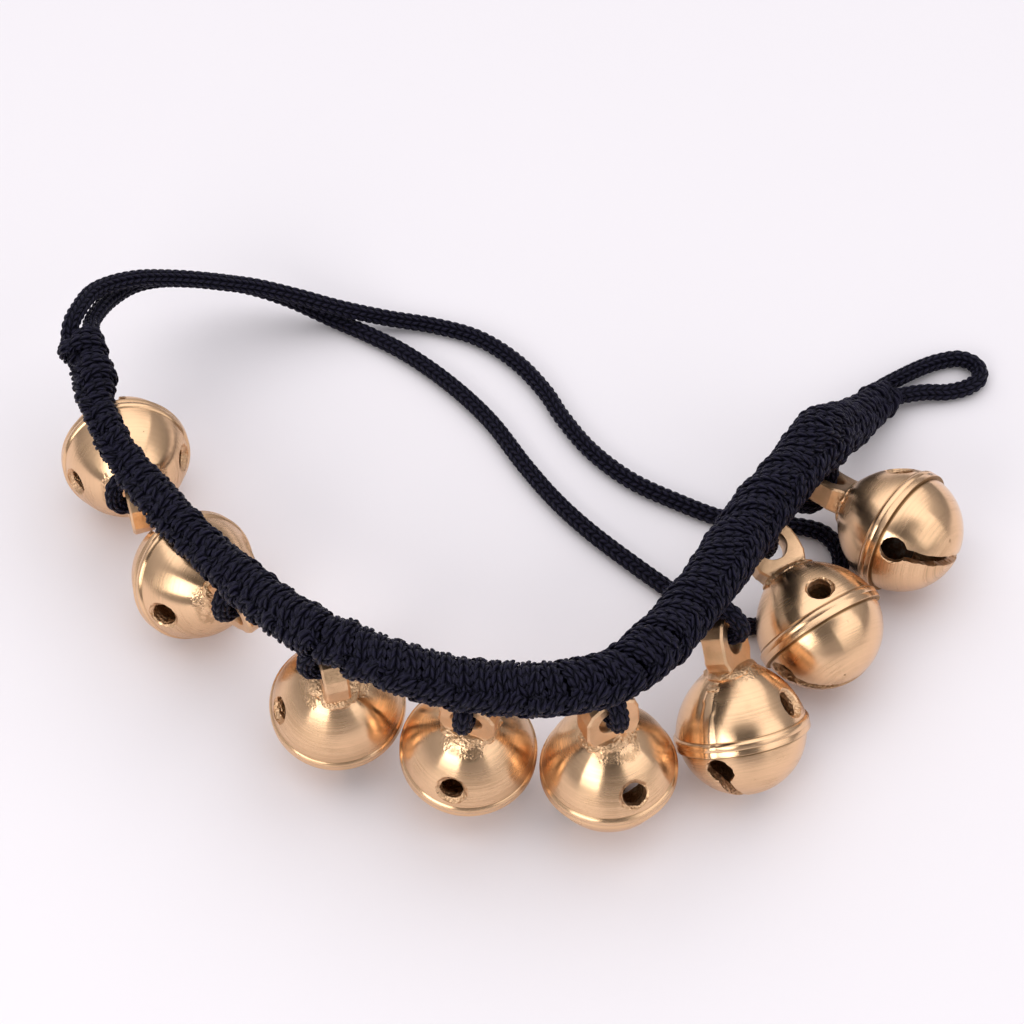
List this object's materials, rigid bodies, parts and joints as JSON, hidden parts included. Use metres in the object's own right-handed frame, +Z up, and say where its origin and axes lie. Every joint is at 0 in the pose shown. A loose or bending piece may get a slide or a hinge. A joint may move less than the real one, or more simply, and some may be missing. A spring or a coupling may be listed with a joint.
{
  "type": "ghungroo ankle bells",
  "caption": "Dancer's ankle bells: cast brass pellet bells hung by cord loops from a hitched black cord band, with a tie cord and a closing loop.",
  "frame": {"origin": "on the table, under the middle of the box round the band and the bells, the free cords left out", "axes": "+X from the collar knot's end to the whipped end, +Y from the upright bells towards the open side, +Z up"},
  "size_m": [0.1931, 0.1348, 0.0466],
  "materials": {
    "brass": "cast, lathe-turned, satin with turning lines",
    "iron": "plain cast shot",
    "yarn": "black knitted cotton cord, faintly navy"
  },
  "bodies": {
    "band": {"band_cover": "yarn", "band_core": "yarn", "left_collar_knot": "yarn", "right_whipping": "yarn", "closing_loop": "yarn", "tie_cord": "yarn"},
    "bell_1": {"bell_shell_1": "brass", "hanging_loop_1": "yarn"},
    "clapper_1": {"pellet_1": "iron"},
    "bell_2": {"bell_shell_2": "brass", "hanging_loop_2": "yarn"},
    "clapper_2": {"pellet_2": "iron"},
    "bell_3": {"bell_shell_3": "brass", "hanging_loop_3": "yarn"},
    "clapper_3": {"pellet_3": "iron"},
    "bell_4": {"bell_shell_4": "brass", "hanging_loop_4": "yarn"},
    "clapper_4": {"pellet_4": "iron"},
    "bell_5": {"bell_shell_5": "brass", "hanging_loop_5": "yarn"},
    "clapper_5": {"pellet_5": "iron"},
    "bell_6": {"bell_shell_6": "brass", "hanging_loop_6": "yarn"},
    "clapper_6": {"pellet_6": "iron"},
    "bell_7": {"bell_shell_7": "brass", "hanging_loop_7": "yarn"},
    "clapper_7": {"pellet_7": "iron"},
    "bell_8": {"bell_shell_8": "brass", "hanging_loop_8": "yarn"},
    "clapper_8": {"pellet_8": "iron"}
  },
  "joints": [
    {"name": "bell_swing_1", "type": "hinge", "parent": "band", "child": "bell_1", "pos_m": [-0.07338, 0.0155, 0.02856], "axis": [-0.5865, 0.8046, 0.0926], "range_deg": [0, 40]},
    {"name": "pellet_rattle_1", "type": "slide", "parent": "bell_1", "child": "clapper_1", "axis": [0, 0, 1], "range_m": [0, 0.011]},
    {"name": "bell_swing_2", "type": "hinge", "parent": "band", "child": "bell_2", "pos_m": [-0.05135, -0.01181, 0.03131], "axis": [-0.6421, 0.7413, -0.1954], "range_deg": [0, 40]},
    {"name": "pellet_rattle_2", "type": "slide", "parent": "bell_2", "child": "clapper_2", "axis": [0, 0, 1], "range_m": [0, 0.0105]},
    {"name": "bell_swing_3", "type": "hinge", "parent": "band", "child": "bell_3", "pos_m": [-0.03275, -0.03175, 0.0402], "axis": [-0.8181, 0.5513, -0.1636], "range_deg": [0, 40]},
    {"name": "pellet_rattle_3", "type": "slide", "parent": "bell_3", "child": "clapper_3", "axis": [0, 0, 1], "range_m": [0, 0.0105]},
    {"name": "bell_swing_4", "type": "hinge", "parent": "band", "child": "bell_4", "pos_m": [-0.0067, -0.04212, 0.04042], "axis": [-0.9858, 0.1671, -0.0148], "range_deg": [0, 40]},
    {"name": "pellet_rattle_4", "type": "slide", "parent": "bell_4", "child": "clapper_4", "axis": [0, 0, 1], "range_m": [0, 0.0105]},
    {"name": "bell_swing_5", "type": "hinge", "parent": "band", "child": "bell_5", "pos_m": [0.01806, -0.0409, 0.04104], "axis": [-0.8909, -0.4435, 0.0983], "range_deg": [0, 40]},
    {"name": "pellet_rattle_5", "type": "slide", "parent": "bell_5", "child": "clapper_5", "axis": [0, 0, 1], "range_m": [0, 0.0105]},
    {"name": "bell_swing_6", "type": "hinge", "parent": "band", "child": "bell_6", "pos_m": [0.0361, -0.01844, 0.03496], "axis": [-0.5323, -0.8158, 0.2261], "range_deg": [0, 40]},
    {"name": "pellet_rattle_6", "type": "slide", "parent": "bell_6", "child": "clapper_6", "axis": [0, 0, 1], "range_m": [0, 0.01]},
    {"name": "bell_swing_7", "type": "hinge", "parent": "band", "child": "bell_7", "pos_m": [0.04702, 0.00252, 0.02903], "axis": [-0.4831, -0.8413, 0.2427], "range_deg": [0, 40]},
    {"name": "pellet_rattle_7", "type": "slide", "parent": "bell_7", "child": "clapper_7", "axis": [0, 0, 1], "range_m": [0, 0.0115]},
    {"name": "bell_swing_8", "type": "hinge", "parent": "band", "child": "bell_8", "pos_m": [0.062, 0.02631, 0.022], "axis": [-0.4768, -0.7752, 0.4144], "range_deg": [0, 30]},
    {"name": "pellet_rattle_8", "type": "slide", "parent": "bell_8", "child": "clapper_8", "axis": [0, 0, 1], "range_m": [0, 0.0115]}
  ]
}
